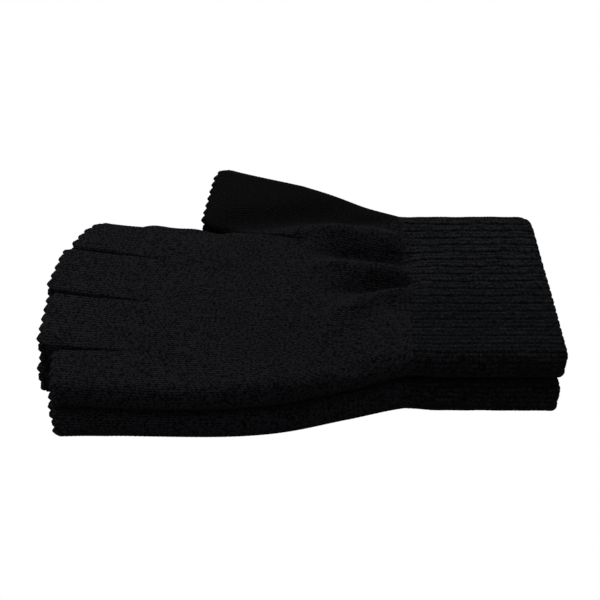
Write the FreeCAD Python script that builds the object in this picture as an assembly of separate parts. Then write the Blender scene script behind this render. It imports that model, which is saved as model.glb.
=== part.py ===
# A pair of knitted half-finger gloves, lying flat, one stacked on the other.
#
# Millimetres. +Z is up, +X runs towards the cuff mouths, the fingers point to -X and both
# thumbs to +Y. The origin is under the middle of the pair, on the surface that it lies on.
#
# Each glove is a set of flat knitted tubes: a hand, four finger tubes, a thumb tube, a bound
# edge on each open tip, and a doubled ribbed cuff with elastic threads between its layers.
# A tube is a loft between flat ovals that stand upright, so a section is written as the two
# ends of its width, the height of its underside and its thickness.
# While a glove is being made, x is 0 at the hand's wrist end and y is 0 on the cuff's middle line.

import FreeCAD
import Part

import math
import os

V = FreeCAD.Vector
up = V(0, 0, 1)

# fabric
wall = 1.8  # thickness of the plain knit
clearance = 0.35  # air between pieces that move apart
sewing = 1e-6  # how closely the faces of a loft are joined

# ribbed cuff: outer layer, pocket with the elastic, lining
cuff_length = 51.5
cuff_width = 80.5
cuff_thickness = 13.0
cuff_layer = 1.4
elastic_pocket = 0.7
mouth_tilt = 2.5  # degrees that the mouth is turned, so that the thumb side is shorter
fold_depth = 2.0  # the outer layer turns in at the mouth over this length
elastic_diameter = 0.5
elastic_count = 10
elastic_margin = 4.0  # from the first and last thread to the ends of the pocket
seam_length = 1.2  # the linked course between hand and cuff
wrist_inset = 0.6  # how far the hand's wrist end lies inside the cuff's outline

# hand: where its lines across stand from the wrist, and their two ends
heel_at = 20.0
heel_near = -44.5
heel_far = 53.5
thumb_line_at = 38.5
thumb_line_tilt = 2.0  # how much further from the wrist the little-finger side is
thumb_line_near = -50.0
thumb_line_far = 62.5
thumb_crotch = 26.0
palm_length = 95.7  # wrist to the middle of the finger line
finger_line_width = 91.8
finger_line_turn = 7.7  # degrees
finger_line_shift = -7.0  # the finger line's middle, towards the little finger
heel_thickness = 11.7
thumb_line_thickness = 11.5
finger_line_thickness = 11.2

# finger tubes from the little-finger side: share of the finger line, length, angle from -X
# towards the thumb side, and the width and turn of the open tip
fingers = {
    "little": {"share": 0.225, "length": 23.5, "splay": 4.0, "tip_width": 20.0, "end_turn": -8.0},
    "ring": {"share": 0.275, "length": 33.5, "splay": 9.0, "tip_width": 24.0, "end_turn": -9.0},
    "middle": {"share": 0.255, "length": 36.5, "splay": 13.5, "tip_width": 21.4, "end_turn": -4.0},
    "index": {"share": 0.245, "length": 31.0, "splay": 12.5, "tip_width": 20.6, "end_turn": 14.0},
}
thumb = {"length": 39.5, "tip_width": 33.5, "end_turn": -13.0}
thumb_opening = 8.0  # degrees between the thumb and the palm's edge beside it
finger_tip_thickness = 10.6
thumb_tip_thickness = 10.8
thumb_crotch_gap = 1.4  # room beside the palm for the thumb to bend up
edge_length = 1.6  # bound edge of each open tip

# how the lower glove lies under the upper one
lower_shift = V(-1.0, -3.4, 0)
lower_turn = -0.4  # degrees about +Z
lower_spread = {"little": -6.0, "ring": -1.0, "middle": 0.0, "index": 0.0}


def turned(vector, degrees):
    return FreeCAD.Rotation(up, degrees).multVec(vector)


def along(start, end, share):
    return start + (end - start) * share


def pulled_in(near, far, by):
    """The two ends of a line, each moved towards the other."""
    step = (far - near).normalize() * by
    return near + step, far - step


def outward(near, far):
    """The level direction square to a line across the glove, towards the fingers."""
    return turned((far - near).normalize(), 90)


def oval(near, far, bottom, thickness):
    """The wire of an upright flat oval."""
    radius = thickness / 2
    across = (far - near).normalize()
    middle = up * (bottom + radius)
    left = near + across * radius + middle
    right = far - across * radius + middle
    edges = [
        Part.makeLine(left - up * radius, right - up * radius),
        Part.Arc(right - up * radius, right + across * radius, right + up * radius).toShape(),
        Part.makeLine(right + up * radius, left + up * radius),
        Part.Arc(left + up * radius, left - across * radius, left - up * radius).toShape(),
    ]
    return Part.Wire(edges)


def inset(section, by):
    """A section with the same middle, smaller by that much all round."""
    near, far, bottom, thickness = section
    near, far = pulled_in(near, far, by)
    return near, far, bottom + by, thickness - 2 * by


def filled(sections):
    """The closed solid through a row of sections, with its flat faces stored as planes."""
    loft = Part.makeLoft([oval(*section) for section in sections], True, True)
    faces = []
    for face in loft.Faces:
        plane = face.findPlane()
        faces.append(Part.Face(plane, face.OuterWire) if plane else face)
    shell = Part.makeShell(faces)
    shell.fix(sewing, sewing, sewing)
    return Part.Solid(shell)


def tube(sections, skin):
    """A hollow tube through a row of sections."""
    return filled(sections).cut(filled([inset(section, skin) for section in sections]))


def moved_out(section, by):
    """A section moved towards the fingers, square to its own line."""
    near, far, bottom, thickness = section
    step = outward(near, far) * by
    return near + step, far + step, bottom, thickness


def thumb_line_point(y):
    share = (y - thumb_line_near) / (thumb_line_far - thumb_line_near)
    return V(-thumb_line_at - thumb_line_tilt + 2 * thumb_line_tilt * share, y, 0)


def finger_line():
    middle = V(-palm_length, finger_line_shift, 0)
    half = turned(V(0, finger_line_width / 2, 0), -finger_line_turn)
    return middle - half, middle + half


def finger_roots():
    """Each finger's two root points on the finger line."""
    near_end, far_end = finger_line()
    roots = {}
    used = 0.0
    for name, size in fingers.items():
        near = along(near_end, far_end, used)
        used += size["share"]
        roots[name] = pulled_in(near, along(near_end, far_end, used), clearance / 2)
    return roots


def thumb_root():
    near = thumb_line_point(thumb_crotch + thumb_crotch_gap)
    return near, thumb_line_point(thumb_line_far - clearance / 2)


def thumb_splay():
    """The thumb's angle from -X, counted from the palm's edge between crotch and fingers."""
    edge = finger_line()[1] - thumb_line_point(thumb_crotch)
    return turned(edge, 180).getAngle(V(1, 0, 0)) * 180 / math.pi + thumb_opening


def digit(root, size, splay, root_level, tip_level):
    """A finger or thumb tube and its bound edge. A level is (underside, thickness)."""
    near, far = root
    first = moved_out((near, far, *root_level), clearance)
    tip = along(near, far, 0.5) + turned(V(-1, 0, 0), -splay) * (size["length"] - edge_length)
    half = turned(V(0, size["tip_width"] / 2, 0), -splay - size["end_turn"])
    last = (tip - half, tip + half, *tip_level)
    return tube([first, last], wall), tube([last, moved_out(last, edge_length)], wall)


def hand(levels):
    """The hand: from wrist to thumb line, and on between the thumb and the fingers."""
    near_end, far_end = finger_line()
    wrist_half = V(0, cuff_width / 2 - wrist_inset, 0)
    wrist = (V(0, 0, 0) - wrist_half, wrist_half, *levels["wrist"])
    heel = (V(-heel_at, heel_near, 0), V(-heel_at, heel_far, 0), *levels["heel"])
    palm_near = thumb_line_point(thumb_line_near)
    wide = (palm_near, thumb_line_point(thumb_line_far), *levels["thumb_line"])
    narrow = (palm_near, thumb_line_point(thumb_crotch), *levels["thumb_line"])
    finger_end = (near_end, far_end, *levels["finger_line"])
    runs = [[wrist, heel, wide], [narrow, finger_end]]
    solid = filled(runs[0]).fuse(filled(runs[1]))
    for run in runs:
        solid = solid.cut(filled([inset(section, wall) for section in run]))
    return solid


def cuff_section(x, bottom):
    """The cuff's outline at that distance from the wrist, turned more towards the mouth."""
    half = turned(V(0, cuff_width / 2, 0), mouth_tilt * (x - cuff_start) / cuff_length)
    return V(x, 0, 0) - half, V(x, 0, 0) + half, bottom, cuff_thickness


cuff_start = clearance + seam_length
cuff_double = 2 * cuff_layer + elastic_pocket  # from the outer face to the lining's inner face


def cuff(bottom):
    """The cuff's outer layer with its fold, its lining and its elastic threads."""
    fold_start = cuff_start + cuff_length - fold_depth
    start = cuff_section(cuff_start, bottom)
    fold_line = cuff_section(fold_start, bottom)
    mouth = cuff_section(cuff_start + cuff_length, bottom)
    fold = tube([fold_line, mouth], cuff_double)
    outer = tube([start, fold_line], cuff_layer).fuse(fold).removeSplitter()
    lining_inset = cuff_layer + elastic_pocket
    lining = tube([inset(start, lining_inset), inset(fold_line, lining_inset)], cuff_layer)
    first = cuff_start + elastic_margin
    step = (fold_start - elastic_margin - first) / (elastic_count - 1)
    threads = [elastic_thread(cuff_section(first + i * step, bottom)) for i in range(elastic_count)]
    return outer, lining, Part.makeCompound(threads)


def elastic_thread(section):
    """One closed loop of elastic along the middle of the cuff's pocket."""
    near, far, bottom, thickness = inset(section, cuff_layer + elastic_pocket / 2)
    across = (far - near).normalize()
    start = near + across * (thickness / 2) + up * bottom
    circle = Part.Wire(Part.makeCircle(elastic_diameter / 2, start, across))
    return oval(near, far, bottom, thickness).makePipeShell([circle], True, False)


def wrist_seam(bottom):
    half = V(0, cuff_width / 2, 0)
    at_hand = (V(clearance, 0, 0) - half, V(clearance, 0, 0) + half, bottom, cuff_thickness)
    return tube([at_hand, cuff_section(cuff_start, bottom)], cuff_double)


def glove(name, levels, spread):
    """All pieces of one glove, by node name."""
    outer, lining, threads = cuff(levels["cuff"])
    pieces = {
        "hand": hand(levels),
        "wrist_seam": wrist_seam(levels["cuff"]),
        "cuff": outer,
        "cuff_lining": lining,
        "cuff_elastic": threads,
    }
    digits = {}
    for finger, root in finger_roots().items():
        splay = fingers[finger]["splay"] + spread[finger]
        digits[finger] = (root, fingers[finger], splay, levels["finger_line"], levels["finger_tip"])
    digits["thumb"] = (thumb_root(), thumb, thumb_splay(), levels["thumb_line"], levels["thumb_tip"])
    for part, placing in digits.items():
        pieces[part + "_tube"], pieces[part + "_edge"] = digit(*placing)
    return {f"{name}_{piece}": shape for piece, shape in pieces.items()}


def glove_levels(stacked):
    """The underside and thickness of a glove's sections, lying at 0 or on the same glove."""
    thicknesses = {
        "heel": heel_thickness,
        "thumb_line": thumb_line_thickness,
        "finger_line": finger_line_thickness,
        "finger_tip": finger_tip_thickness,
        "thumb_tip": thumb_tip_thickness,
    }
    levels = {place: ((size + clearance) * stacked, size) for place, size in thicknesses.items()}
    levels["cuff"] = (cuff_thickness + clearance) * stacked
    levels["wrist"] = (levels["cuff"] + wrist_inset, cuff_thickness - 2 * wrist_inset)
    return levels


def pair():
    """Both gloves, placed so that the origin is at the middle of the pair's base."""
    lower = glove("lower", glove_levels(0), lower_spread)
    for shape in lower.values():
        shape.rotate(V(0, 0, 0), up, lower_turn)
        shape.translate(lower_shift)
    pieces = {**lower, **glove("upper", glove_levels(1), dict.fromkeys(fingers, 0.0))}
    box = Part.makeCompound(list(pieces.values())).optimalBoundingBox(False)
    for shape in pieces.values():
        shape.translate(V(-box.Center.x, -box.Center.y, -box.ZMin))
    return pieces


os.makedirs("parts", exist_ok=True)
for node, shape in pair().items():
    shape.exportStep(f"parts/{node}.step")
    print(f"{node:20s} solids {len(shape.Solids):2d} valid {shape.isValid()} volume {shape.Volume:9.1f}")
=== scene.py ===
from functools import partial
import bpy
import numpy as np
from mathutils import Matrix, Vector


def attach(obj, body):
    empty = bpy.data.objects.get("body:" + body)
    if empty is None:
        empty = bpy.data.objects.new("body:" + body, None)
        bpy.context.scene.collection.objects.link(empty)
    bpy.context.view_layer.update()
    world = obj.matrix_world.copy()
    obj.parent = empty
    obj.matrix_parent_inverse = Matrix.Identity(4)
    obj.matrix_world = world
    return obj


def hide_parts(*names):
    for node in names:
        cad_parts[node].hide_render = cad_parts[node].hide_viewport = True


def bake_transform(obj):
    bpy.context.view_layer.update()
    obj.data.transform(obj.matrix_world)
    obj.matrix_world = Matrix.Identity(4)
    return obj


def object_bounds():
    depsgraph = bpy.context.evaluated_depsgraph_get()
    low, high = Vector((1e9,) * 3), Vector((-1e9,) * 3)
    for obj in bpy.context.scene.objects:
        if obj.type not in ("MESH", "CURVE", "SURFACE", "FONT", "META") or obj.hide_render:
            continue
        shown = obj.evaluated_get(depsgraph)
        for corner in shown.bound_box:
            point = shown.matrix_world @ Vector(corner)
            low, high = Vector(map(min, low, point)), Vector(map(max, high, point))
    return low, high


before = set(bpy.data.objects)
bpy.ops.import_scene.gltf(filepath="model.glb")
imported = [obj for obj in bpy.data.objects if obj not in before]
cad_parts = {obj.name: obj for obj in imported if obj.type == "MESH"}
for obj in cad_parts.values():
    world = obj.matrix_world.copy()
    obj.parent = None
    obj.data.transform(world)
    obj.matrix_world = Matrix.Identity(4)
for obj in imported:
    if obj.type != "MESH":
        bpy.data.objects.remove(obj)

# Two knitted half-finger gloves. Lengths in this script are millimetres until a mesh is made.
# A glove's columns of stitches (wales) run from the wrist into the fingers without a break.
cadLow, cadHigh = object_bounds()
millimetre = 0.001
fingerNames = ["little", "ring", "middle", "index"]


def smoothStep(value):
    value = np.clip(value, 0, 1)
    return value * value * (3 - 2 * value)


def cadPoints(node):
    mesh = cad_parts[node].data
    points = np.empty(len(mesh.vertices) * 3, np.float32)
    mesh.vertices.foreach_get("co", points)
    return points.reshape(-1, 3).astype(float) / millimetre


def unit(vector):
    return vector / np.linalg.norm(vector)


def furthest(points, x, y):
    return points[np.argmax(points[:, 0] * x + points[:, 1] * y), :2]


measuring = {
    # how far from a line across a piece its points may lie and still count as on it
    "onLine": 0.8,
    "wristReach": 0.8,
    "heelReach": 1.0,
    "thumbLineReach": 6.0,
    "justInside": 0.3,  # how far inside the hand's edge the wrist is measured
}


def crossSection(points, near, far):
    # near and far ends of a line across the piece, with its underside and thickness there
    along = unit(far - near)
    side = np.abs((points[:, 0] - near[0]) * along[1] - (points[:, 1] - near[1]) * along[0])
    heights = points[side < measuring["onLine"], 2]
    return np.array([*near, *far, heights.min(), heights.max() - heights.min()])


def endOf(points, x):
    # the line across a piece at its end towards the wrist (1) or the fingers (-1)
    return crossSection(points, furthest(points, x, -1), furthest(points, x, 1))


def sectionAt(points, x, reach):
    part = points[np.abs(points[:, 0] - x) < reach]
    return crossSection(points, furthest(part, 0, -1), furthest(part, 0, 1))


def movedOut(section, distance):
    # a section moved towards the fingertips, square to its own line
    along = unit(section[2:4] - section[0:2])
    step = np.array([-along[1], along[0]]) * distance
    return section + np.array([*step, *step, 0, 0])


def smoothPath(points, at):
    # a smooth curve through the points; 'at' counts the points from 0
    points = np.asarray(points, float)
    steps = np.diff(points, axis=0)
    gaps = np.linalg.norm(steps, axis=1)
    slopes = steps / gaps[:, None]
    inner = slopes[:-1] * gaps[1:, None] + slopes[1:] * gaps[:-1, None]
    inner = inner / (gaps[:-1] + gaps[1:])[:, None]
    tangents = np.vstack([slopes[:1], inner, slopes[-1:]])
    at = np.asarray(at, float)
    first = np.clip(np.floor(at).astype(int), 0, len(gaps) - 1)
    t = (at - first)[:, None]
    gap = gaps[first][:, None]
    start = (2 * t**3 - 3 * t**2 + 1) * points[first] + (t**3 - 2 * t**2 + t) * gap * tangents[first]
    end = (3 * t**2 - 2 * t**3) * points[first + 1] + (t**3 - t**2) * gap * tangents[first + 1]
    return start + end


# ---- rings of points round a flat oval ----

fullRound = 99.0  # a corner this large is as round as the piece's thickness allows
webCorner = 0.7  # how much sharper a corner is where two digits are joined
knit = {
    "topSamples": 4,  # mesh columns in a stitch on the side that faces up
    "lowSamples": 2,  # mesh columns in a stitch on the side that faces down
    "rowSamples": 3,  # mesh rows in a stitch
    "courseHeight": 1.6,
    "depth": 0.42,  # from the top of the yarn down to the hollows
    "slant": 0.9,  # how many courses a leg of the V climbs
    "legEnds": 0.3,  # how high a leg's ends are, as a share of its middle
    "legEdge": 3,  # a larger power makes a leg flatter on top and steeper at its sides
    "wall": 1.7,
    "sharpAngle": 65.0,  # a crease steeper than this isn't smoothed
    "thumbShadeStrength": 0.95,  # how much darker painted shade makes the thumb's knit
    "thumbShadeFrom": 19.0,
    "thumbShadeOver": 7.0,
}


def ovalPoints(section, shares, side, corners, webs):
    # points at those shares of the way round a flat oval, over its top (1) or underneath (-1);
    # a web of 1 on the near or far side joins it to its neighbour nearly up to the top
    near, far = section[:, 0:2], section[:, 2:4]
    across = far - near
    width = np.linalg.norm(across, axis=1)[:, None]
    direction = across / width
    half = section[:, 5:6] / 2
    first, last = (np.minimum(half, radius) * (1 - webCorner * web) for radius, web in zip(corners, webs))
    lift, drop = ((half - radius) * web for radius, web in zip((first, last), webs))
    # up the near side, round its corner, across, round the far corner and down
    across = width - first - last
    lengths = [half - first - lift, first * np.pi / 2, across, last * np.pi / 2, half - last - drop]
    run = shares[None, :] * sum(lengths)
    done = []
    for length in lengths:
        done.append(np.clip(run, 0, length))
        run = run - length
    nearTurn = done[1] / np.maximum(first, 1e-6)
    farTurn = done[3] / np.maximum(last, 1e-6)
    distance = first * (1 - np.cos(nearTurn)) + done[2] + last * np.sin(farTurn)
    height = lift + done[0] + first * np.sin(nearTurn) - last * (1 - np.cos(farTurn)) - done[4]
    height = section[:, 4:5] + half + side * height
    plan = near[:, None, :] + direction[:, None, :] * distance[:, :, None]
    return np.concatenate([plan, height[:, :, None]], axis=2)


def ringPoints(sections, counts, samples, corners=None, webs=None):
    # rows of closed rings; several sections side by side share a column where they meet
    tops = []
    lows = []
    corners = corners or [(fullRound, fullRound)] * len(sections)
    webs = webs or [(0, 0)] * len(sections)
    for section, count, corner, web in zip(sections, counts, corners, webs):
        top = ovalPoints(section, np.linspace(0, 1, count * samples[0] + 1), 1, corner, web)
        low = ovalPoints(section, np.linspace(0, 1, count * samples[1] + 1), -1, corner, web)
        if tops:
            tops[-1][:, -1] = (tops[-1][:, -1] + top[:, 0]) / 2
            lows[-1][:, -1] = (lows[-1][:, -1] + low[:, 0]) / 2
            top = top[:, 1:]
            low = low[:, 1:]
        tops.append(top)
        lows.append(low)
    top = np.concatenate(tops, axis=1)
    low = np.concatenate(lows, axis=1)
    return np.concatenate([top, low[:, -2:0:-1]], axis=1)


def ringWales(count, samples):
    # the stitch coordinate of each column, and of the column that closes the ring
    top = np.arange(count * samples[0]) / samples[0]
    low = count + np.arange(count * samples[1] + 1) / samples[1]
    return np.concatenate([top, low])


def partOfRing(total, first, last, samples):
    # the columns of a wider ring that go on into the piece between two of its wales
    tops = total * samples[0]
    lows = total * samples[1]
    upper = np.arange(first * samples[0], last * samples[0] + 1)
    lower = tops + lows - np.arange(last * samples[1] - 1, first * samples[1], -1)
    return np.concatenate([upper, lower])


def insetSection(section, by):
    near, far = section[:, 0:2], section[:, 2:4]
    step = (far - near) / np.linalg.norm(far - near, axis=1)[:, None] * by
    return np.concatenate([near + step, far - step, section[:, 4:5] + by, section[:, 5:6] - 2 * by], axis=1)


def gridNormals(points, flip=1):
    around = np.roll(points, -1, axis=1) - np.roll(points, 1, axis=1)
    along = np.gradient(points, axis=0)
    normal = flip * np.cross(around, along)
    return normal / np.maximum(np.linalg.norm(normal, axis=2, keepdims=True), 1e-9)


def paintedThumbShade(points):
    # painted shade: the thumb and the cloth beside it are painted darker, past a line along x
    return 1 - knit["thumbShadeStrength"] * smoothStep((points[..., 1] - knit["thumbShadeFrom"]) / knit["thumbShadeOver"])


def stitchHeight(wales, courses):
    # 0 in the hollows to 1 on the yarn: slanted legs, two to a wale
    legSide = np.abs((wales % 1) - 0.5) * 2
    phase = (courses - knit["slant"] * legSide) % 1
    across = 1 - np.abs(2 * legSide - 1) ** knit["legEdge"]
    along = np.sqrt(np.clip(1 - (2 * phase - 1) ** 2, 0, 1))
    return across * (knit["legEnds"] + (1 - knit["legEnds"]) * along)


# ---- meshes ----

def cornersOf(grid):
    # for each quad between the grid's rows and columns, the values at its four corners
    return np.stack([grid[:-1, :-1], grid[:-1, 1:], grid[1:, 1:], grid[1:, :-1]], axis=2)


class PieceMesh:
    # grids of quads gathered into one piece, with a stitch layer and a relief layer: how high the yarn
    # stands, painted as shade in the hollows, with more painted shade in places
    def __init__(self):
        self.points = []
        self.reliefs = []
        self.quads = []
        self.uvs = []
        self.count = 0

    def addPoints(self, points, relief=0.6):
        shape = points.shape[:-1]
        self.points.append(points.reshape(-1, 3))
        self.reliefs.append(np.broadcast_to(relief, shape).reshape(-1))
        index = np.arange(self.count, self.count + int(np.prod(shape))).reshape(shape)
        self.count += index.size
        return index

    def addGrid(self, index, wales, courses, closeRows=False):
        # wales has one value more than the columns, and courses one for each row
        if closeRows:
            index = np.vstack([index, index[:1]])
            courses = np.append(courses, 2 * courses[-1] - courses[-2])
        index = np.hstack([index, index[:, :1]])
        self.quads.append(cornersOf(index).reshape(-1, 4))
        self.uvs.append(cornersOf(np.stack(np.meshgrid(wales, courses), axis=2)).reshape(-1, 2))

    def make(self, name, material, nodes):
        points = np.concatenate(self.points) * millimetre
        quads = np.concatenate(self.quads)
        mesh = bpy.data.meshes.new(name)
        mesh.vertices.add(len(points))
        mesh.vertices.foreach_set("co", points.astype(np.float32).ravel())
        mesh.loops.add(quads.size)
        mesh.loops.foreach_set("vertex_index", quads.astype(np.int32).ravel())
        mesh.polygons.add(len(quads))
        mesh.polygons.foreach_set("loop_start", np.arange(0, quads.size, 4, dtype=np.int32))
        mesh.polygons.foreach_set("loop_total", np.full(len(quads), 4, np.int32))
        layer = mesh.uv_layers.new(name="knit")
        layer.data.foreach_set("uv", np.concatenate(self.uvs).astype(np.float32).ravel())
        relief = mesh.attributes.new("relief", "FLOAT", "POINT")
        relief.data.foreach_set("value", np.concatenate(self.reliefs).astype(np.float32))
        mesh.update(calc_edges=True)
        mesh.shade_smooth()
        mesh.set_sharp_from_angle(angle=np.radians(knit["sharpAngle"]))
        mesh.materials.append(material)
        piece = bpy.data.objects.new(name, mesh)
        bpy.context.scene.collection.objects.link(piece)
        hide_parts(*nodes)
        return piece


# ---- materials ----

def shaderTree(name):
    material = bpy.data.materials.new(name)
    material.use_nodes = True
    tree = material.node_tree
    return material, tree, tree.nodes["Principled BSDF"]


def setValues(shader, values):
    for socket, value in values.items():
        shader.inputs[socket].default_value = value


def mathNode(tree, operation, first, second=0.0):
    node = tree.nodes.new("ShaderNodeMath")
    node.operation = operation
    for socket, value in zip(node.inputs, (first, second)):
        if isinstance(value, (int, float)):
            socket.default_value = value
        else:
            tree.links.new(value, socket)
    return node.outputs[0]


def stitchNodes(tree):
    # the same slanted legs as in the mesh, drawn finely
    calc = partial(mathNode, tree)
    uv = tree.nodes.new("ShaderNodeUVMap")
    uv.uv_map = "knit"
    parts = tree.nodes.new("ShaderNodeSeparateXYZ")
    tree.links.new(uv.outputs[0], parts.inputs[0])
    middle = calc("SUBTRACT", calc("FRACT", parts.outputs[0]), 0.5)
    legSide = calc("MULTIPLY", calc("ABSOLUTE", middle), 2.0)
    climb = calc("MULTIPLY", legSide, knit["slant"])
    phase = calc("FRACT", calc("SUBTRACT", parts.outputs[1], climb))
    around = calc("SUBTRACT", calc("MULTIPLY", phase, 2.0), 1.0)
    squared = calc("MULTIPLY", around, around)
    along = calc("SQRT", calc("SUBTRACT", 1.0, squared))
    aside = calc("SUBTRACT", calc("MULTIPLY", legSide, 2.0), 1.0)
    edge = calc("ABSOLUTE", aside)
    across = calc("SUBTRACT", 1.0, calc("POWER", edge, knit["legEdge"]))
    share = calc("MULTIPLY", along, 1 - knit["legEnds"])
    return calc("MULTIPLY", across, calc("ADD", share, knit["legEnds"]))


def yarnMaterial(name, look):
    material, tree, shader = shaderTree(name)
    calc = partial(mathNode, tree)
    stitch = stitchNodes(tree)
    place = tree.nodes.new("ShaderNodeTexCoord")
    noises = []
    for scale, detail in ((look["fuzzScale"], look["fuzzDetail"]), (look["cloudScale"], look["cloudDetail"])):
        noise = tree.nodes.new("ShaderNodeTexNoise")
        noise.inputs["Scale"].default_value = scale
        noise.inputs["Detail"].default_value = detail
        tree.links.new(place.outputs["Object"], noise.inputs["Vector"])
        noises.append(noise.outputs["Fac"])
    fuzz, cloud = noises
    relief = tree.nodes.new("ShaderNodeAttribute")
    relief.attribute_name = "relief"
    # painted shade: the hollows between the yarn are painted darker than the yarn tops, and the relief layer
    # adds more painted shade; single stitches and patches differ at random
    light = calc("MULTIPLY", stitch, look["stitchContrast"])
    light = calc("ADD", light, look["stitchBase"])
    for source, contrast in (
        (relief.outputs["Fac"], look["reliefShadeContrast"]),
        (fuzz, look["fuzzContrast"]),
        (cloud, look["cloudContrast"]),
    ):
        swing = calc("MULTIPLY", calc("SUBTRACT", source, 0.5), contrast)
        light = calc("MULTIPLY", light, calc("ADD", swing, 1.0))
    mix = tree.nodes.new("ShaderNodeMix")
    mix.data_type = "RGBA"
    mix.inputs[6].default_value = (*look["shadedHollowColor"], 1)
    mix.inputs[7].default_value = (*look["yarnColor"], 1)
    tree.links.new(light, mix.inputs[0])
    tree.links.new(mix.outputs[2], shader.inputs["Base Color"])
    rough = calc("MULTIPLY", fuzz, -look["fuzzGloss"])
    tree.links.new(calc("ADD", rough, look["roughness"]), shader.inputs["Roughness"])
    height = calc("ADD", stitch, calc("MULTIPLY", fuzz, look["fuzzHeight"]))
    bump = tree.nodes.new("ShaderNodeBump")
    bump.inputs["Strength"].default_value = look["bumpStrength"]
    bump.inputs["Distance"].default_value = look["bumpDistance"] * millimetre
    tree.links.new(height, bump.inputs["Height"])
    tree.links.new(bump.outputs[0], shader.inputs["Normal"])
    setValues(shader, {
        "Specular IOR Level": look["specular"],
        "Sheen Weight": look["sheen"],
        "Sheen Roughness": look["sheenRoughness"],
        "Sheen Tint": (*look["sheenColor"], 1),
    })
    return material


plainLook = {
    "shadedHollowColor": (0.0004, 0.0004, 0.0005),
    "yarnColor": (0.0097, 0.0097, 0.0117),
    "stitchBase": 0.0,  # how light the painted shade in the hollows is, and then how much lighter the yarn is
    "stitchContrast": 0.55,
    "reliefShadeContrast": 1.8,
    "fuzzContrast": 7.6,
    "cloudContrast": 0.9,
    "fuzzScale": 1050.0,
    "cloudScale": 90.0,
    "fuzzDetail": 4.0,
    "cloudDetail": 2.0,
    "fuzzHeight": 0.7,
    "fuzzGloss": 0.15,
    "bumpStrength": 0.8,
    "bumpDistance": 0.4,
    "roughness": 0.95,
    "specular": 0.03,
    "sheen": 0.004,
    "sheenRoughness": 0.5,
    "sheenColor": (0.9, 0.95, 1.0),
}
ribLook = {
    **plainLook,
    "stitchContrast": 0.28,
    "stitchBase": 0.14,
    "sheen": 0.006,
    "sheenColor": (0.55, 0.95, 1.0),
}
edgeLook = {
    **plainLook,
    "stitchContrast": 0.1,
    "stitchBase": 0.35,
    "bumpStrength": 0.4,
}
elasticLook = {
    **plainLook,
    "yarnColor": (0.05, 0.05, 0.05),
    "shadedHollowColor": (0.03, 0.03, 0.03),
    "sheen": 0.0,
}
plainKnit = yarnMaterial("plainKnit", plainLook)
ribKnit = yarnMaterial("ribKnit", ribLook)
boundYarn = yarnMaterial("boundYarn", edgeLook)
seamYarn = yarnMaterial("seamYarn", plainLook)
elasticYarn = yarnMaterial("elasticYarn", elasticLook)


# ---- one glove's measures, read from the CAD ----

def readGlove(glove):
    size = {}
    hand = cadPoints(f"{glove}_hand")
    cuff = cadPoints(f"{glove}_cuff")
    wristX = hand[:, 0].max() - measuring["justInside"]
    size["wrist"] = sectionAt(hand, wristX, measuring["wristReach"])
    size["heel"] = sectionAt(hand, wristX - handShape["heelAt"], measuring["heelReach"])
    size["fingerLine"] = endOf(hand, -1)
    thumbFar = furthest(hand, 0, 1)
    part = hand[(hand[:, 0] < thumbFar[0]) & (hand[:, 0] > thumbFar[0] - measuring["thumbLineReach"])]
    size["thumbLine"] = crossSection(hand, furthest(part, 0, -1), thumbFar)
    size["cuffStart"] = endOf(cuff, -1)
    size["cuffEnd"] = endOf(cuff, 1)
    for digit in [*fingerNames, "thumb"]:
        tube = cadPoints(f"{glove}_{digit}_tube")
        size[digit] = {"root": endOf(tube, 1), "tip": endOf(tube, -1)}
    # soft fingers widen until they nearly touch
    for first, second in zip(fingerNames, fingerNames[1:]):
        farTip = size[first]["tip"][2:4].copy()
        nearTip = size[second]["tip"][0:2].copy()
        farSide = (size[first]["root"][2:4], farTip)
        nearSide = (size[second]["root"][0:2], nearTip)
        size[first]["tip"][2:4] += (onLine(farTip, *nearSide) - farTip) * tubeShape["closing"]
        size[second]["tip"][0:2] += (onLine(nearTip, *farSide) - nearTip) * tubeShape["closing"]
    return size


def onLine(point, start, end):
    along = unit(end - start)
    return start + along * ((point - start) @ along)


def lobeShares(line, roots):
    # where each digit's root stands along a line across the hand
    length = np.linalg.norm(line[2:4] - line[0:2])
    along = (line[2:4] - line[0:2]) / length
    shares = []
    for root in roots:
        ends = (root[0:2], root[2:4])
        shares.append([(end - line[0:2]) @ along / length for end in ends])
    return np.clip(shares, 0, 1)


def lobesOf(sections, shares, inset):
    made = []
    for first, last in shares:
        across = sections[:, 2:4] - sections[:, 0:2]
        near = sections[:, 0:2] + across * first
        far = sections[:, 0:2] + across * last
        lobe = np.concatenate([near, far, sections[:, 4:6]], axis=1)
        made.append(insetSection(lobe, inset))
    return made


def levelsAt(levels, at):
    # underside and thickness between the given ones; 'at' counts them from 0
    levels = np.array(levels, float)
    first = np.clip(np.floor(at).astype(int), 0, len(levels) - 2)
    t = smoothStep(at - first)[:, None]
    return levels[first] * (1 - t) + levels[first + 1] * t


# ---- folds and soft unevenness of the cloth ----

foldShape = {
    "steps": 40,  # places along a fold where its distance is taken
    "riseOver": 0.5,  # shares of its length over which it rises and dies out
    "fallFrom": 0.8,
    "fallOver": 0.2,
}
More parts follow.
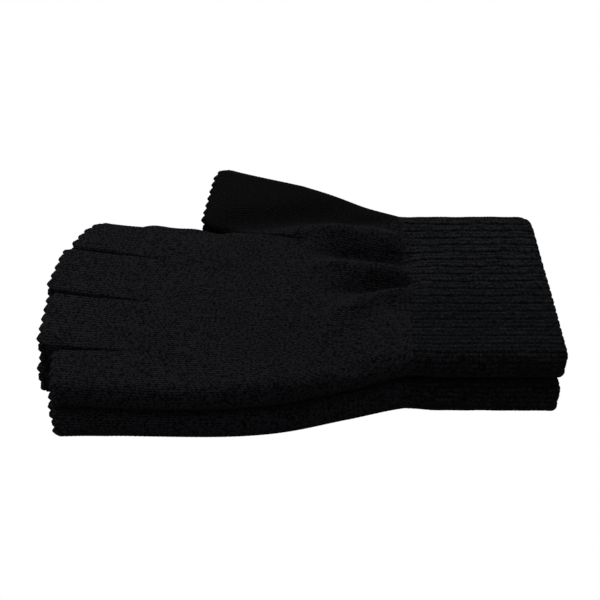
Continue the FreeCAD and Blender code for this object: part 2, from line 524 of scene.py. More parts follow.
# where the cloth of the upper glove is pushed up or sinks, from the fingers' side to the wrist
folds = [
    {"path": [(-20, 19), (8, 20.5), (26, 15.5), (44, 6)], "height": 4.6, "width": 4.6},
    {"path": [(-6, 1), (17, 0), (44, -8)], "height": 3.2, "width": 3.8},
    {"path": [(4, -28), (24, -20), (44, -15)], "height": 2.8, "width": 3.8},
    {"path": [(2, 10), (20, 8), (45, -1)], "height": -3.6, "width": 3.4},
    {"path": [(4, -13), (24, -10), (45, -12)], "height": -3.8, "width": 3.4},
    {"path": [(6, -49), (20, -51), (40, -46)], "height": -1.2, "width": 2.8},
    {"path": [(40, 18), (14, 31), (-8, 30), (-38, 27)], "height": -2.6, "width": 6.5},
    {"path": [(-58, 25), (-42, 23), (-24, 23)], "height": -2.0, "width": 4.5},
    {"path": [(12, 36), (30, 27), (48, 19)], "height": 1.7, "width": 4.5},
]


def foldHeight(points):
    height = np.zeros(points.shape[:-1])
    for fold in folds:
        shares = np.linspace(0, 1, foldShape["steps"])
        path = smoothPath(fold["path"], shares * (len(fold["path"]) - 1))
        nearest = np.full(height.shape, 1e9)
        where = np.zeros(height.shape)
        for share, spot in zip(shares, path):
            distance = np.hypot(points[..., 0] - spot[0], points[..., 1] - spot[1])
            closer = distance < nearest
            nearest = np.where(closer, distance, nearest)
            where = np.where(closer, share, where)
        fall = smoothStep((where - foldShape["fallFrom"]) / foldShape["fallOver"])
        strength = smoothStep(where / foldShape["riseOver"]) * (1 - fall)
        height += fold["height"] * strength * np.exp(-((nearest / fold["width"]) ** 2))
    return height


cloth = {
    "sink": 0.45,
    # each wave of the cloth: its length, how far it bends, the length of its bends, its start
    "waveX": (7.3, 1.1, 11.0, 0.0),
    "waveY": (6.1, 0.7, 9.0, 2.0),
    "cornerPull": 0.85,
}


def bentWave(along, across, wave):
    length, bend, bendLength, start = wave
    return np.sin(along / length + bend * np.sin(across / bendLength) + start)


def unevenness(points):
    # 0 to 1, slowly changing over the cloth
    x, y = points[..., 0], points[..., 1]
    return 0.5 + 0.25 * (bentWave(x, y, cloth["waveX"]) + bentWave(y, x, cloth["waveY"]))


def topShare(rings):
    # 0 from the underside up to the middle of each ring, and 1 at its top
    low = rings[..., 2].min(axis=1, keepdims=True)
    high = rings[..., 2].max(axis=1, keepdims=True)
    return smoothStep((2 * rings[..., 2] - low - high) / (high - low))


def draped(rings, base, glove):
    # soft cloth sinks in here and there, and the upper glove's top has folds
    top = topShare(base)
    moved = rings.copy()
    moved[..., 2] -= top * unevenness(base) * cloth["sink"]
    if glove == "upper":
        moved[..., 2] += top * foldHeight(base)
    return moved


def roundEnd(points, end, out, corners, reach):
    # pulls in the two corners of an open end, seen from above; corners are (near, far) radii
    along = end[2:4] - end[0:2]
    width = np.linalg.norm(along)
    along = along / width
    fromNear = (points[..., :2] - end[0:2]) @ along
    before = -((points[..., :2] - end[0:2]) @ out)
    moved = points.copy()
    for distance, radius in ((fromNear, corners[0]), (width - fromNear, corners[1])):
        inside = np.clip(radius - distance, 0, radius)
        pull = radius - np.sqrt(radius**2 - inside**2)
        strength = 1 - smoothStep(before / reach)
        moved[..., :2] -= out * (pull * strength * cloth["cornerPull"])[..., None]
    return moved


# ---- the hand ----

handShape = {
    "wales": {"little": 12, "ring": 14, "middle": 13, "index": 13, "thumb": 20},
    # over these lengths the hand pinches in before the thumb and the fingers part from it
    "thumbCleft": 12.0,
    "fingerCleft": 14.0,
    "rootGap": 0.35,  # the CAD's room between the hand and a digit
    "crotchGap": 1.4,
    "palmCorner": 2.5,  # how round the palm's side is next to the thumb
    "innerRows": (14, 16),  # rows of the inside, below and above the thumb
    "heelAt": 20.0,
    "thumbLineAt": 38.5,
    "ribFade": 9.0,  # the cuff's ribs die out in the hand over this length
    "ribDepth": 0.3,
    "ribFlatness": 0.6,  # how much flatter the stitches are where the ribs stand highest
    "ribRelief": 0.5,
}
ribCount = 22  # ribs across the cuff
ribShape = {
    "nearStrength": 0.45,  # the ribs are shallower on the little finger's side
    "growFrom": 0.1,  # shares of the cuff's width
    "growOver": 0.5,
}


def ribHeight(shares):
    # 0 between two ribs to 1 on a rib; shares count the flat width from 0 to 1 and back to 2
    height = np.sqrt(np.clip(1 - (2 * ((shares * ribCount) % 1) - 1) ** 2, 0, 1))
    farness = 1 - np.abs(shares - 1)
    grown = smoothStep((farness - ribShape["growFrom"]) / ribShape["growOver"])
    strength = ribShape["nearStrength"] + (1 - ribShape["nearStrength"]) * grown
    return 1 - (1 - height) * strength


def pickRows(rows, count):
    return np.unique(np.linspace(0, rows - 1, count).round().astype(int))


def makeHand(glove, size):
    samples = (knit["topSamples"], knit["lowSamples"])
    wales = handShape["wales"]
    palmWales = sum(wales[name] for name in fingerNames)
    allWales = palmWales + wales["thumb"]
    roots = {name: movedOut(size[name]["root"], -handShape["rootGap"]) for name in [*fingerNames, "thumb"]}
    wrist, heel, thumbLine, fingerLine = (size[part] for part in ("wrist", "heel", "thumbLine", "fingerLine"))
    levels = [part[4:6] for part in (wrist, heel, thumbLine, fingerLine)]

    # lower palm, from the wrist to where the thumb parts
    coursesA = round(handShape["thumbLineAt"] / knit["courseHeight"])
    rowsA = coursesA * knit["rowSamples"] + 1
    distance = np.linspace(0, handShape["thumbLineAt"], rowsA)
    at = np.interp(distance, [0, handShape["heelAt"], handShape["thumbLineAt"]], [1, 2, 3])
    lines = [size["cuffEnd"], wrist, heel, thumbLine]
    nearPath = [line[0:2] for line in (*lines, fingerLine, size["little"]["tip"])]
    farPath = [line[2:4] for line in (*lines, size["thumb"]["tip"])]
    sectionsA = np.concatenate([
        smoothPath(nearPath, at),
        smoothPath(farPath, at),
        levelsAt([levels[0], *levels[:3]], at),
    ], axis=1)
    palmRoot = np.concatenate([thumbLine[0:2], roots["thumb"][0:2]])
    sharesA = lobeShares(thumbLine, [palmRoot, roots["thumb"]])
    sharesA[0][1] -= handShape["crotchGap"] / np.linalg.norm(thumbLine[2:4] - thumbLine[0:2])
    cleft = handShape["thumbCleft"]
    weightA = smoothStep((distance - handShape["thumbLineAt"] + cleft) / cleft)

    # upper palm, on to the fingers
    palmFar = thumbLine[0:2] + (thumbLine[2:4] - thumbLine[0:2]) * sharesA[0][1]
    lengthB = np.linalg.norm(fingerLine[0:2] - thumbLine[0:2])
    coursesB = round(lengthB / knit["courseHeight"])
    rowsB = coursesB * knit["rowSamples"] + 1
    share = np.linspace(0, 1, rowsB)
    nearB = smoothPath(nearPath, 3 + share)
    farB = smoothPath([palmFar, fingerLine[2:4], size["index"]["tip"][2:4]], share)
    levelB = np.outer(1 - share, thumbLine[4:6]) + np.outer(share, fingerLine[4:6])
    sectionsB = np.concatenate([nearB, farB, levelB], axis=1)
    sharesB = lobeShares(fingerLine, [roots[name] for name in fingerNames])
    cleft = handShape["fingerCleft"]
    weightB = smoothStep(((share - 1) * lengthB + cleft) / cleft)
    fingerWales = [wales[name] for name in fingerNames]

    def shell(inset, pickA, pickB):
        rows = sectionsA[pickA]
        plain = ringPoints([insetSection(rows, inset)], [allWales], samples)
        palmSides = (fullRound, handShape["palmCorner"])
        corners = [palmSides, tubeShape["sides"]["thumb"]]
        lobes = lobesOf(rows, sharesA, inset)
        lobed = ringPoints(lobes, [palmWales, wales["thumb"]], samples, corners, [(0, 1), (1, 0)])
        weight = weightA[pickA][:, None, None]
        ringsA = plain * (1 - weight) + lobed * weight
        rows = sectionsB[pickB]
        web = webAt(share[pickB] * lengthB, "thumb")
        plain = ringPoints([insetSection(rows, inset)], [palmWales], samples, [palmSides], [(0, web)])
        corners = [tubeShape["sides"][name] for name in fingerNames]
        webs = [(0, 1), (1, 1), (1, 1), (1, 0)]
        lobed = ringPoints(lobesOf(rows, sharesB, inset), fingerWales, samples, corners, webs)
        weight = weightB[pickB][:, None, None]
        ringsB = plain * (1 - weight) + lobed * weight
        return ringsA, ringsB

    outerA, outerB = shell(0.0, np.arange(rowsA), np.arange(rowsB))
    waleA = ringWales(allWales, samples) + 0.5 / samples[0]
    waleB = ringWales(palmWales, samples) + 0.5 / samples[0]
    courseA = np.arange(rowsA) / knit["rowSamples"] + 0.5 / knit["rowSamples"]
    courseB = courseA[-1] + np.arange(rowsB) / knit["rowSamples"]
    palmColumns = partOfRing(allWales, 0, palmWales, samples)
    thumbColumns = partOfRing(allWales, palmWales, allWales, samples)

    normalA = gridNormals(outerA)
    normalB = gridNormals(outerB)
    # the relief layer, painted as shade in the stitch hollows
    reliefA = stitchHeight(waleA[:-1][None, :], courseA[:, None])
    reliefB = stitchHeight(waleB[:-1][None, :], courseB[:, None])
    ringShare = waleA[:-1] / allWales
    fade = 1 - smoothStep(distance / handShape["ribFade"])[:, None]
    ribs = ribHeight(ringShare)[None, :]
    stitchDepth = (1 - reliefA) * knit["depth"] * (1 - handShape["ribFlatness"] * fade)
    depthA = stitchDepth + (1 - ribs) * handShape["ribDepth"] * fade
    depthB = (1 - reliefB) * knit["depth"]
    outerA = draped(outerA - normalA * depthA[:, :, None], outerA, glove)
    outerB = draped(outerB - normalB * depthB[:, :, None], outerB, glove)
    # painted shade between the ribs near the wrist, fading out into the hand
    reliefA = reliefA * (1 - handShape["ribRelief"] * fade) + ribs * handShape["ribRelief"] * fade

    # both sides of the crotch end in one point, and the upper palm starts on the same points
    topCrotch = palmWales * samples[0]
    lowCrotch = allWales * samples[0] + (allWales - palmWales) * samples[1]
    mesh = PieceMesh()
    # painted shade on the thumb's side of the hand
    reliefA = reliefA * paintedThumbShade(outerA)
    indexA = mesh.addPoints(outerA, reliefA)
    indexA[-1, lowCrotch] = indexA[-1, topCrotch]
    indexB = mesh.addPoints(outerB[1:], reliefB[1:])
    indexB = np.vstack([indexA[-1][palmColumns], indexB])
    pickA, pickB = (pickRows(rows, count) for rows, count in zip((rowsA, rowsB), handShape["innerRows"]))
    innerA, innerB = (draped(rings, rings, glove) for rings in shell(knit["wall"], pickA, pickB))
    insideA = mesh.addPoints(innerA)
    insideA[-1, lowCrotch] = insideA[-1, topCrotch]
    insideB = np.vstack([insideA[-1][palmColumns], mesh.addPoints(innerB[1:])])
    mesh.addGrid(indexA, waleA, courseA)
    mesh.addGrid(indexB, waleB, courseB)
    mesh.addGrid(insideA[::-1], waleA, courseA[pickA][::-1])
    mesh.addGrid(insideB[::-1], waleB, courseB[pickB][::-1])
    mesh.addGrid(np.vstack([insideA[0], indexA[0]]), waleA, courseA[:2])
    mesh.addGrid(np.vstack([indexB[-1], insideB[-1]]), waleB, courseB[:2])
    thumbEnd = np.vstack([indexA[-1][thumbColumns], insideA[-1][thumbColumns]])
    mesh.addGrid(thumbEnd, ringWales(wales["thumb"], samples), courseA[:2])
    piece = mesh.make(f"{glove}_hand_knit", plainKnit, [f"{glove}_hand"])
    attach(piece, f"{glove}_hand_body")

    # the last row of each digit's root, for its tube to start on
    columns = thumbColumns
    starts = {"thumb": (outerA[-1][columns], innerA[-1][columns], courseA[-1], reliefA[-1][columns])}
    used = 0
    for name in fingerNames:
        columns = partOfRing(palmWales, used, used + wales[name], samples)
        starts[name] = (outerB[-1][columns], innerB[-1][columns], courseB[-1], reliefB[-1][columns])
        used += wales[name]
    return starts


# ---- finger and thumb tubes with their bound edges ----

pressed = 1.6  # how round a finger's side is where it presses against its neighbour
tubeShape = {
    # how round the near and far side is
    "sides": {
        "little": (fullRound, pressed),
        "ring": (pressed, pressed),
        "middle": (pressed, pressed),
        "index": (pressed, fullRound),
        "thumb": (2.0, fullRound),
    },
    "closing": 0.43,  # how much of the gap between two fingers each of them takes up
    # the thumb lies against the palm: moved by this much at its root, and turned by these degrees;
    # it would come clear of the palm between those distances from its root
    "thumbPull": 1.1,
    "thumbTurn": 8.0,
    "thumbClear": (24.0, 70.0),
    # the slits beside the fingers and the thumb open between these distances from the root
    "fingerWeb": (7.0, 19.0),
    "thumbWeb": (18.0, 34.0),
    # which of its near and far sides has a neighbour
    "webbed": {"little": (0, 1), "ring": (1, 1), "middle": (1, 1), "index": (1, 0), "thumb": (1, 0)},
    "bend": 13.0,  # a length along a digit, in millimetres
    "joinRows": 7,  # rows over which a tube runs over from the hand's last row
    "innerRows": 7,
    "cornerReach": 0.85,  # the share of a tube that its corners' rounding reaches over
    # plan radii of the open end's near and far corner
    "corners": {"little": (8, 3), "ring": (3, 4), "middle": (3, 4), "index": (2, 13), "thumb": (3, 10)},
}
edgeShape = {
    "samples": 6,  # mesh columns in a stitch
    "loops": 0.5,  # loops to a stitch
    "round": 8,  # mesh rows round the yarn
    "radius": 0.86,
    "scallop": 1.1,
    "scallopPower": 0.7,  # a smaller power makes the scallops squarer
    "scallopSwell": 0.2,
    "sunk": 0.05,
    "standOff": 0.1,
    "twist": 0.25,
    "relief": (0.3, 0.35),  # painted shade: the darkest strand, where the twist dips, and how much lighter the strands get
}


def webAt(run, name):
    # 1 where a digit is still joined to its neighbour, 0 where the slit between them is open
    first, last = tubeShape["thumbWeb" if name == "thumb" else "fingerWeb"]
    return 1 - smoothStep((run - first) / (last - first))[:, None]


def makeDigit(glove, name, size, start):
    samples = (knit["topSamples"], knit["lowSamples"])
    wales = handShape["wales"][name]
    root = movedOut(size[name]["root"], -handShape["rootGap"])
    tip = size[name]["tip"]
    tipAlong = unit(tip[2:4] - tip[0:2])
    tipOut = np.array([-tipAlong[1], tipAlong[0]])
    along = unit(root[2:4] - root[0:2])

    length = np.linalg.norm((tip[0:2] + tip[2:4] - root[0:2] - root[2:4]) / 2)

    def rounded(points):
        reach = tubeShape["cornerReach"] * length
        return roundEnd(points, tip, tipOut, tubeShape["corners"][name], reach)

    courses = round(length / knit["courseHeight"])
    rows = courses * knit["rowSamples"] + 1
    share = np.linspace(0, 1, rows)[:, None]
    sections = root * (1 - share) + tip * share
    if name == "thumb":
        clearStart, clearEnd = tubeShape["thumbClear"]
        run = share[:, 0] * length
        close = 1 - smoothStep((run - clearStart) / (clearEnd - clearStart))
        pull = tubeShape["thumbPull"] + run * np.tan(np.radians(tubeShape["thumbTurn"]))
        sections[:, 0:2] -= along * (pull * close)[:, None]
        tip = sections[-1]
    sides = [tubeShape["sides"][name]]
    web = webAt(share[:, 0] * length, name)
    webs = np.array(tubeShape["webbed"][name])[:, None, None] * web
    outer = ringPoints([sections], [wales], samples, sides, [webs])
    normals = gridNormals(outer)
    wale = ringWales(wales, samples) + 0.5 / samples[0]
    course = start[2] + np.arange(rows) / knit["rowSamples"]
    # the relief layer, painted as shade in the stitch hollows
    relief = stitchHeight(wale[:-1][None, :], course[:, None])
    knitted = outer - normals * ((1 - relief) * knit["depth"])[:, :, None]
    sunk = rounded(draped(knitted, outer, glove))
    joined = 1 - smoothStep(np.arange(rows) / tubeShape["joinRows"])[:, None, None]
    sunk += (start[0] - sunk[0]) * joined
    if name == "thumb":
        # painted shade on the thumb
        relief = relief * paintedThumbShade(sunk)
    relief[0] = start[3]
    pick = pickRows(rows, tubeShape["innerRows"])
    insets = insetSection(sections[pick], knit["wall"])
    inner = ringPoints([insets], [wales], samples, sides, [webs[:, pick]])
    inner = rounded(draped(inner, inner, glove))
    inner[0] = start[1]
    mesh = PieceMesh()
    index = mesh.addPoints(sunk, relief)
    inside = mesh.addPoints(inner)
    profile = np.vstack([index, inside[::-1]])
    mesh.addGrid(profile, wale, np.concatenate([course, course[pick][::-1] + courses]), closeRows=True)
    piece = mesh.make(f"{glove}_{name}_knit", plainKnit, [f"{glove}_{name}_tube"])
    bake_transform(piece)
    makeEdge(glove, name, tip, tipOut, wales, rounded)


def squareTo(path, outward):
    # directions square to a closed path and to its outward direction
    tangent = np.roll(path, -1, axis=0) - np.roll(path, 1, axis=0)
    return np.cross(tangent / np.linalg.norm(tangent, axis=1)[:, None], outward)


def makeEdge(glove, name, tip, tipOut, wales, rounded):
    # a roll of bound-off loops round the open end
    count = edgeShape["samples"]
    radius = edgeShape["radius"]
    middle = insetSection(tip[None, :], radius - edgeShape["sunk"])
    path = ringPoints([middle], [wales], (count, count), [tubeShape["sides"][name]])
    path = rounded(draped(path, path, glove))[0]
    wale = ringWales(wales, (count, count))
    outward = np.array([*tipOut, 0])
    normal = squareTo(path, outward)
    loops = wale[:-1] * edgeShape["loops"]
    scallop = np.abs(np.sin(np.pi * loops)) ** edgeShape["scallopPower"]
    reach = edgeShape["scallop"] * scallop / 2
    centre = path + outward * (reach[:, None] + edgeShape["standOff"])
    swell = 1 - edgeShape["scallopSwell"] * (1 - scallop)
    darkest, lighter = edgeShape["relief"]
    rows = []
    reliefs = []
    for turn in np.linspace(0, 2 * np.pi, edgeShape["round"], endpoint=False):
        strand = np.cos(4 * np.pi * loops + turn)
        size = radius * (1 + edgeShape["twist"] * (strand - 1) / 2) * swell
        sideways = normal * (np.cos(turn) * size)[:, None]
        rows.append(centre + sideways + outward * (np.sin(turn) * (size + reach))[:, None])
        # painted shade where the twisted yarn dips
        reliefs.append(darkest + lighter * (strand + 1))
    rows = np.array(rows)
    # painted shade on the thumb's bound edge
    reliefs = np.array(reliefs) * (paintedThumbShade(rows) if name == "thumb" else 1)
    mesh = PieceMesh()
    index = mesh.addPoints(rows, reliefs)
    mesh.addGrid(index, wale, np.arange(edgeShape["round"]) / edgeShape["round"], closeRows=True)
    piece = mesh.make(f"{glove}_{name}_bound_edge", boundYarn, [f"{glove}_{name}_edge"])
    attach(piece, f"{glove}_{name}_body")


# ---- the ribbed cuff ----

cuffShape = {
    "topSamples": 8,  # mesh columns in a rib that faces up
    "lowSamples": 5,
    "ribDepth": 0.85,
    "ribStart": 9.0,  # the ribs reach their full depth after this length
    "startInset": 0.6,
    "layer": 1.4,
    "double": 3.5,  # both layers and the pocket between them
    "corners": (5.0, 10.0),  # plan radii of the mouth's near and far corner
    "cornerReach": 22.0,
    "foldBack": 2.0,
    "foldRows": 10,
    # the pocket's rows, its depth behind the folded edge, and its room beyond the outer layer
    "pocketRows": 8,
    "pocketBehind": (1.0, 1.2),
    "pocketRoom": (0.2, 0.1),
    "leastRibs": 0.35,  # the ribs' depth at the wrist and at the end of the fold, as a share
    "stitchDepth": 0.18,
    "stitchRelief": 0.25,
    # painted shade: the cuff is painted darker on the little finger's side, from this y on
    "nearShadeFrom": 5.0,
    "nearShadeOver": 35.0,
    "nearShadeShare": 0.5,
    # painted shade on the cuff's inner layers
    "insideShadeRelief": 0.2,
    "bend": 18.0,  # a length along the cuff, in millimetres
    "wobble": 0.2,  # how far the ribs stray sideways, in ribs
    "wobbleLengths": ((1.7, 2.9), (3.1, -4.3)),  # along x and y, of each wave
    "wobbleFrom": 12,  # rows over which the straying sets in
}
liningShape = {
    "samples": (4, 3),
    "rows": 60,
    "hiddenRows": 6,
    "room": 0.3,
    "layer": 0.9,
    "ribDepth": 0.45,
}
threadShape = {
    "count": 10,
    "margin": 4.0,
    "endMargin": 2.0,
    "radius": 0.25,
    "sides": 6,
    "room": 0.35,  # beyond the outer layer
    "steps": 20,
    "stepSamples": 4,
    "relief": 0.6,
}


def followCuff(piece, glove):
    # the lower cuff is attached to the lower hand's body; the upper one keeps its place, with its placement
    # applied to its points
    if glove == "lower":
        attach(piece, "lower_hand_body")
        return
    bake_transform(piece)


def makeCuff(glove, size):
    start, end = size["cuffStart"], size["cuffEnd"]
    samples = (cuffShape["topSamples"], cuffShape["lowSamples"])
    length = np.linalg.norm((end[0:2] + end[2:4] - start[0:2] - start[2:4]) / 2)
    radius = cuffShape["double"] / 2
    rows = round((length - radius) / knit["courseHeight"]) * knit["rowSamples"]
    distance = np.linspace(0, length - radius, rows)
    wale = ringWales(ribCount, samples) + 0.5 / samples[0]
    layer, double = cuffShape["layer"], cuffShape["double"]
    insideShadeRelief = cuffShape["insideShadeRelief"]

    def ringsAt(run, inset, count=ribCount, samples=samples):
        share = (np.asarray(run) / length)[:, None]
        rows = start * (1 - share) + end * share
        sections = [insetSection(rows[i : i + 1], inset[i]) for i in range(len(inset))]
        return ringPoints([np.concatenate(sections)], [count], samples)

    def rounded(points):
        along = unit(end[2:4] - end[0:2])
        out = np.array([along[1], -along[0]])
        return roundEnd(points, end, out, cuffShape["corners"], cuffShape["cornerReach"])

    inset = cuffShape["startInset"] * (1 - smoothStep(distance / cuffShape["ribStart"]))
    outer = ringsAt(distance, inset)
    turns = np.linspace(0, np.pi, cuffShape["foldRows"])[1:]
    foldStart = length - radius
    foldRun = foldStart + radius * np.sin(turns)
    foldInset = radius - radius * np.cos(turns)
    fold = ringsAt(foldRun, foldInset)
    backRun = foldStart - np.array([cuffShape["foldBack"]])
    back = ringsAt(backRun, np.full(1, double))
    pocketRows = cuffShape["pocketRows"]
    pocketRun = [*backRun, foldStart, foldStart, *np.linspace(foldStart - 1, 0, pocketRows)]
    endRoom, room = cuffShape["pocketRoom"]
    pocketInset = [double - behind for behind in cuffShape["pocketBehind"]]
    pocketInset += [layer + endRoom, *[layer + room] * pocketRows]
    pocket = ringsAt(pocketRun, pocketInset)

    skin = np.concatenate([outer, fold, back])
    normals = gridNormals(skin, -1)
    least = cuffShape["leastRibs"]
    begun = least + (1 - least) * smoothStep(distance / cuffShape["ribStart"])
    grown = np.concatenate([begun, np.linspace(1, least, len(skin) - rows)])
    x, y = skin[..., 0], skin[..., 1]
    stray = sum(np.sin(x / alongX + y / alongY) for alongX, alongY in cuffShape["wobbleLengths"])
    setIn = smoothStep(np.arange(len(skin)) / cuffShape["wobbleFrom"])[:, None]
    stray = stray * cuffShape["wobble"] / 2 * setIn
    ribs = ribHeight((wale[:-1] + stray) / ribCount)
    allCourses = np.arange(len(skin)) / knit["rowSamples"]
    stitches = stitchHeight(wale[:-1][None, :], allCourses[:, None])
    depth = (1 - ribs) * cuffShape["ribDepth"] * grown[:, None]
    depth = depth + (1 - stitches) * cuffShape["stitchDepth"]
    skin = draped(skin - normals * depth[:, :, None], skin, glove)
    # painted shade between the ribs and in the stitch hollows
    relief = np.clip(ribs * (1 - cuffShape["stitchRelief"] * (1 - stitches)), 0, 1)
    # painted shade: the relief layer is painted darker towards the cuff's near side
    plain = smoothStep((cuffShape["nearShadeFrom"] - skin[..., 1]) / cuffShape["nearShadeOver"])
    relief = relief * (1 - cuffShape["nearShadeShare"] * plain)
    mesh = PieceMesh()
    index = mesh.addPoints(rounded(skin), relief)
    # painted shade inside the cuff
    inside = mesh.addPoints(rounded(draped(pocket, pocket, glove)), insideShadeRelief)
    profile = np.vstack([index, inside])[::-1]
    mesh.addGrid(profile, wale, -np.arange(len(profile)) / knit["rowSamples"], closeRows=True)
    piece = mesh.make(f"{glove}_cuff_rib", ribKnit, [f"{glove}_cuff"])
    followCuff(piece, glove)

    # lining, inside the pocket
    samples = liningShape["samples"]
    room = liningShape["room"]
    run = np.linspace(room, foldStart - cuffShape["foldBack"] - room, liningShape["rows"])
    wale = ringWales(ribCount, samples) + 0.5 / samples[0]
    near = ringsAt(run, np.full(len(run), double), samples=samples)
    ribs = ribHeight(wale[:-1] / ribCount)[None, :]
    shift = gridNormals(near, -1) * ((1 - ribs) * liningShape["ribDepth"])[:, :, None]
    near = draped(near + shift, near, glove)
    hidden = np.linspace(run[-1], run[0], liningShape["hiddenRows"])
    awayInset = np.full(len(hidden), double - liningShape["layer"])
    away = ringsAt(hidden, awayInset, samples=samples)
    mesh = PieceMesh()
    # painted shade between the lining's ribs
    index = mesh.addPoints(rounded(near), np.broadcast_to(ribs, near.shape[:2]))
    inside = mesh.addPoints(rounded(draped(away, away, glove)), insideShadeRelief)
    profile = np.vstack([inside, index])
    mesh.addGrid(profile, wale, np.arange(len(profile)) / 2, closeRows=True)
    piece = mesh.make(f"{glove}_lining_rib", ribKnit, [f"{glove}_cuff_lining"])
    followCuff(piece, glove)

    # elastic threads, one loop after another
    mesh = PieceMesh()
    steps, sides = threadShape["steps"], threadShape["sides"]
    samples = (threadShape["stepSamples"], threadShape["stepSamples"])
    first = threadShape["margin"]
    last = length - threadShape["endMargin"] - first
    for run in np.linspace(first, last, threadShape["count"]):
        path = ringsAt([run], [layer + threadShape["room"]], steps, samples)
        path = draped(path, path, glove)[0]
        outward = np.array([1.0, 0, 0])
        normal = squareTo(path, outward)
        thread = []
        for turn in np.linspace(0, 2 * np.pi, sides, endpoint=False):
            away = normal * np.cos(turn) + outward * np.sin(turn)
            thread.append(path + away * threadShape["radius"])
        index = mesh.addPoints(rounded(np.array(thread)), threadShape["relief"])
        mesh.addGrid(index, ringWales(steps, samples) * 4, np.arange(sides) / sides, closeRows=True)
    piece = mesh.make(f"{glove}_elastic_threads", elasticYarn, [f"{glove}_cuff_elastic"])
    followCuff(piece, glove)

    makeSeam(glove, size)


seamShape = {
    "samples": 6,
    # how far each row lies beyond the gap between hand and cuff, and how deep
    "rows": ((0.4, 0.2), (0.1, 0.1), (-0.4, 0.05)),
    "innerDepth": 2.6,
    "loops": 4,  # loops to a rib
    "loopDepth": 0.08,
    "relief": (0.3, 0.5),  # painted shade: relief in the hollows, and how much more on the ribs
}


def makeSeam(glove, size):
    # the linked course between hand and cuff, flush with both and ribbed like them
    hand = size["wrist"]
    gap = size["cuffStart"][0] - hand[0]
    samples = (seamShape["samples"], seamShape["samples"])

    def ringAt(run, depth):
        section = hand + np.array([run, 0, run, 0, 0, 0])
        return ringPoints([insetSection(section[None, :], depth)], [ribCount], samples)[0]

    wale = ringWales(ribCount, samples) + 0.5 / samples[0]
    ribs = ribHeight(wale[:-1] / ribCount)
    rows = [ringAt(-beyond, depth) for beyond, depth in seamShape["rows"]]
    rows += [ringAt(gap + beyond, depth) for beyond, depth in seamShape["rows"][::-1]]
    points = np.array(rows)
    loops = 0.5 + 0.5 * np.cos(2 * np.pi * seamShape["loops"] * wale[:-1])
    depth = (1 - ribs) * handShape["ribDepth"] + (1 - loops) * seamShape["loopDepth"]
    points = draped(points - gridNormals(points, -1) * depth[None, :, None], points, glove)
    beyond = seamShape["rows"][0][0]
    inner = np.array([ringAt(run, seamShape["innerDepth"]) for run in (gap + beyond, -beyond)])
    hollow, more = seamShape["relief"]
    mesh = PieceMesh()
    # painted shade between the ribs
    index = mesh.addPoints(points, np.broadcast_to(hollow + more * ribs, points.shape[:2]))
    inside = mesh.addPoints(draped(inner, inner, glove))
    profile = np.vstack([index, inside])[::-1]
    mesh.addGrid(profile, wale * 3, np.arange(len(profile)) / 4, closeRows=True)
    piece = mesh.make(f"{glove}_wrist_links", seamYarn, [f"{glove}_wrist_seam"])
    followCuff(piece, glove)


for glove in ("lower", "upper"):
    size = readGlove(glove)
    starts = makeHand(glove, size)
    print("hand made:", glove)
    for digit in [*fingerNames, "thumb"]:
        makeDigit(glove, digit, size, starts[digit])
    print("fingers and thumb made:", glove)
    makeCuff(glove, size)
    print("cuff made:", glove)


# ---- floor, light and camera ----

stageLook = {
    "floorSize": 8.0,
    "floorBounce": 0.25,  # how much light the floor throws back
    "worldStrength": 0.5,
    "keySize": 0.5,
    "keyPower": 11.0,
    "keyPlace": (-0.2, 0.8, 0.85),
    "fillSize": 0.8,
    "fillPower": 1.5,
    "fillPlace": (-0.5, -0.7, 0.6),
    "floorDrop": 0.0004,  # below the gloves
}
cameraLook = {
    "target": (1, -9, 12),
    "elevation": 44.0,
    "distance": 450.0,
    "lens": 72.36,
    "sensorWidth": 36,
    "shiftUp": 0.01,
    "clipStart": 0.01,
}


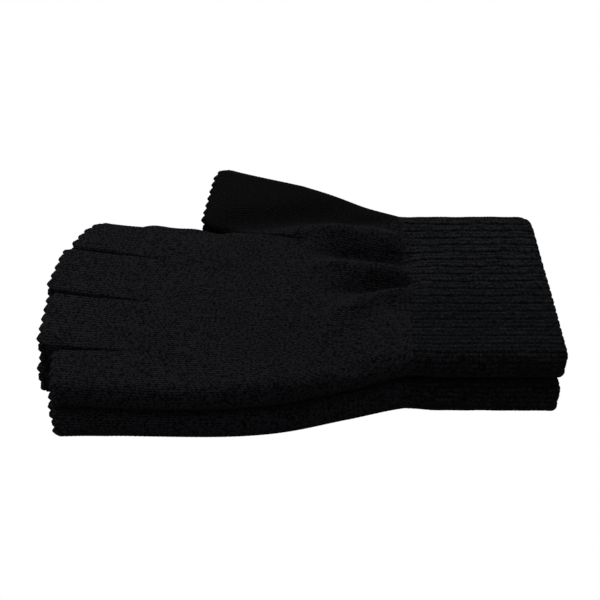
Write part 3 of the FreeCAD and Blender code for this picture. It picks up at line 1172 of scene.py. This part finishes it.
def makeFloor():
    mesh = bpy.data.meshes.new("floor")
    half = stageLook["floorSize"] / 2
    low = cadLow.z - stageLook["floorDrop"]
    corners = [(-half, -half, low), (half, -half, low), (half, half, low), (-half, half, low)]
    mesh.from_pydata(corners, [], [(0, 1, 2, 3)])
    floor = bpy.data.objects.new("floor", mesh)
    bpy.context.scene.collection.objects.link(floor)
    material, tree, shader = shaderTree("floorPaint")
    bounce = stageLook["floorBounce"]
    color = (bounce, bounce, bounce, 1)
    setValues(shader, {"Base Color": color, "Roughness": 1.0, "Specular IOR Level": 0.0})
    glow = tree.nodes.new("ShaderNodeEmission")
    glow.inputs["Strength"].default_value = 1.0
    ray = tree.nodes.new("ShaderNodeLightPath")
    mix = tree.nodes.new("ShaderNodeMixShader")
    tree.links.new(ray.outputs["Is Camera Ray"], mix.inputs[0])
    tree.links.new(shader.outputs[0], mix.inputs[1])
    tree.links.new(glow.outputs[0], mix.inputs[2])
    tree.links.new(mix.outputs[0], tree.nodes["Material Output"].inputs["Surface"])
    mesh.materials.append(material)


def putInScene(name, data, place, backwards):
    # lights and cameras look along their own -z
    thing = bpy.data.objects.new(name, data)
    thing.location = place
    thing.rotation_mode = "QUATERNION"
    thing.rotation_quaternion = backwards.to_track_quat("Z", "Y")
    bpy.context.scene.collection.objects.link(thing)
    return thing


def makeLight(name, place, size, power):
    data = bpy.data.lights.new(name, "AREA")
    data.size = size
    data.energy = power
    putInScene(name, data, place, Vector(place))


def makeWorld():
    world = bpy.data.worlds.new("studio")
    bpy.context.scene.world = world
    world.use_nodes = True
    tree = world.node_tree
    back = tree.nodes["Background"]
    ray = tree.nodes.new("ShaderNodeLightPath")
    strength = stageLook["worldStrength"]
    seen = mathNode(tree, "MULTIPLY", ray.outputs["Is Camera Ray"], 1 - strength)
    tree.links.new(mathNode(tree, "ADD", seen, strength), back.inputs["Strength"])
    back.inputs["Color"].default_value = (1, 1, 1, 1)


def makeCamera():
    target = Vector(cameraLook["target"]) * millimetre
    elevation = np.radians(cameraLook["elevation"])
    back = Vector((0, -np.cos(elevation), np.sin(elevation)))
    data = bpy.data.cameras.new("camera")
    data.lens = cameraLook["lens"]
    data.sensor_width = cameraLook["sensorWidth"]
    data.shift_y = cameraLook["shiftUp"]
    data.clip_start = cameraLook["clipStart"]
    place = target + back * cameraLook["distance"] * millimetre
    bpy.context.scene.camera = putInScene("camera", data, place, back)


makeFloor()
makeLight("key", stageLook["keyPlace"], stageLook["keySize"], stageLook["keyPower"])
makeLight("fill", stageLook["fillPlace"], stageLook["fillSize"], stageLook["fillPower"])
makeWorld()
makeCamera()
bpy.context.scene.view_settings.view_transform = "Standard"
print("floor, lights and camera made")
